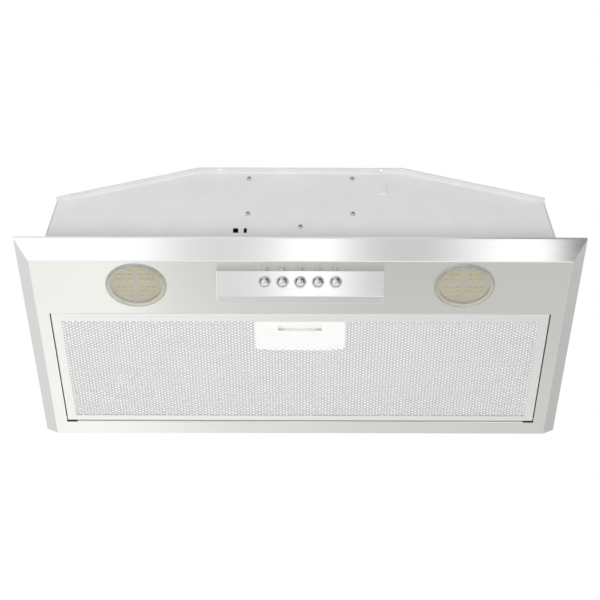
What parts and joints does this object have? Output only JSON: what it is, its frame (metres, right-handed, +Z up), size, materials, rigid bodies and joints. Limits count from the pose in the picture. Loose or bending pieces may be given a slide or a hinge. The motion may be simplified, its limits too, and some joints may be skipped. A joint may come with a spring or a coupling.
{
  "type": "range hood",
  "caption": "Built-in range hood with a bevelled stainless panel, sloped housing, drum blower, hinged grease filter, lamps, push buttons and a duct collar.",
  "frame": {"origin": "middle of the flange plane that bears on the underside of the cabinet", "axes": "+Z up along the duct, +X to the right, the front with the buttons faces -Y"},
  "size_m": [0.7, 0.376, 0.2475],
  "materials": {
    "stainless": "brushed along the width",
    "housing_grey": "satin pale grey",
    "galvanised": "spangled zinc grey",
    "chrome": "polished",
    "filter_aluminium": "satin",
    "handle_white": "smooth pale",
    "lens_clear": "lightly frosted",
    "lamp_board": "matte",
    "lamp_can": "satin",
    "grey_plastic": "moulded",
    "white_plastic": "moulded",
    "black_plastic": "moulded",
    "rubber": "matte",
    "motor_steel": "satin",
    "lamination": "stacked sheet",
    "bright_steel": "turned",
    "lead_grey": "smooth sheath"
  },
  "bodies": {
    "housing": {"bottom_panel": "stainless", "housing_wrap": "housing_grey", "front_plate": "housing_grey", "back_plate": "housing_grey", "case_screws": "bright_steel", "outlet_collar": "black_plastic", "damper_pin": "bright_steel", "blower_flange": "galvanised", "blower_band": "galvanised", "blower_side_left": "galvanised", "blower_side_right": "galvanised", "motor_can": "motor_steel", "motor_end_cap": "motor_steel", "motor_stator": "lamination", "motor_bearings": "bright_steel", "motor_spider": "motor_steel", "motor_grommets": "rubber", "motor_screws": "bright_steel", "electrical_box": "grey_plastic", "run_capacitor": "white_plastic", "terminal_block": "white_plastic", "led_driver": "white_plastic", "cable_clip": "black_plastic", "switch_lead": "lead_grey", "lamp_leads": "lead_grey", "motor_lead": "lead_grey", "mains_gland": "black_plastic", "gland_nut": "black_plastic", "control_pod": "stainless", "switch_block": "black_plastic", "button_bezels": "chrome", "lamp_left_bezel": "chrome", "lamp_right_bezel": "chrome", "lamp_left_lens": "lens_clear", "lamp_right_lens": "lens_clear", "lamp_cans": "lamp_can", "lamp_boards": "lamp_board", "filter_hooks": "bright_steel"},
    "impeller": {"impeller": "galvanised", "motor_shaft": "bright_steel", "motor_rotor": "lamination", "shaft_nut": "bright_steel"},
    "damper_front": {"damper_flap_front": "grey_plastic"},
    "damper_rear": {"damper_flap_rear": "grey_plastic"},
    "filter": {"filter_frame": "filter_aluminium", "filter_mesh_outer": "filter_aluminium", "filter_core": "filter_aluminium", "filter_mesh_inner": "filter_aluminium", "handle_plate": "handle_white", "latch_guide": "grey_plastic", "latch_spring": "bright_steel", "filter_pivots": "bright_steel"},
    "latch": {"latch_slider": "white_plastic"},
    "button_off_key": {"button_off": "chrome"},
    "button_low_key": {"button_low": "chrome"},
    "button_medium_key": {"button_medium": "chrome"},
    "button_high_key": {"button_high": "chrome"},
    "button_lamp_key": {"button_lamp": "chrome"}
  },
  "joints": [
    {"name": "impeller_spin", "type": "hinge", "parent": "housing", "child": "impeller", "pos_m": [0, -0.0532, 0.0862], "axis": [1, 0, 0], "continuous": true},
    {"name": "damper_front_hinge", "type": "hinge", "parent": "housing", "child": "damper_front", "pos_m": [0, 0.0003, 0.1626], "axis": [-1, 0, 0], "range_deg": [0, 80]},
    {"name": "damper_rear_hinge", "type": "hinge", "parent": "housing", "child": "damper_rear", "pos_m": [0, 0.0003, 0.1626], "axis": [1, 0, 0], "range_deg": [0, 80]},
    {"name": "filter_swing", "type": "hinge", "parent": "housing", "child": "filter", "pos_m": [0, 0.1399, -0.0195], "axis": [1, 0, 0], "range_deg": [0, 85]},
    {"name": "latch_slide", "type": "slide", "parent": "filter", "child": "latch", "axis": [0, -1, 0], "range_m": [0, 0.005], "deforming": ["latch_spring"]},
    {"name": "button_off_press", "type": "slide", "parent": "housing", "child": "button_off_key", "axis": [0, 0.7583, 0.6519], "range_m": [0, 0.003], "stiffness_N_per_m": 400, "springref_m": -0.001},
    {"name": "button_low_press", "type": "slide", "parent": "housing", "child": "button_low_key", "axis": [0, 0.7583, 0.6519], "range_m": [0, 0.003], "stiffness_N_per_m": 400, "springref_m": -0.001},
    {"name": "button_medium_press", "type": "slide", "parent": "housing", "child": "button_medium_key", "axis": [0, 0.7583, 0.6519], "range_m": [0, 0.003], "stiffness_N_per_m": 400, "springref_m": -0.001},
    {"name": "button_high_press", "type": "slide", "parent": "housing", "child": "button_high_key", "axis": [0, 0.7583, 0.6519], "range_m": [0, 0.003], "stiffness_N_per_m": 400, "springref_m": -0.001},
    {"name": "button_lamp_press", "type": "slide", "parent": "housing", "child": "button_lamp_key", "axis": [0, 0.7583, 0.6519], "range_m": [0, 0.003], "stiffness_N_per_m": 400, "springref_m": -0.001}
  ]
}
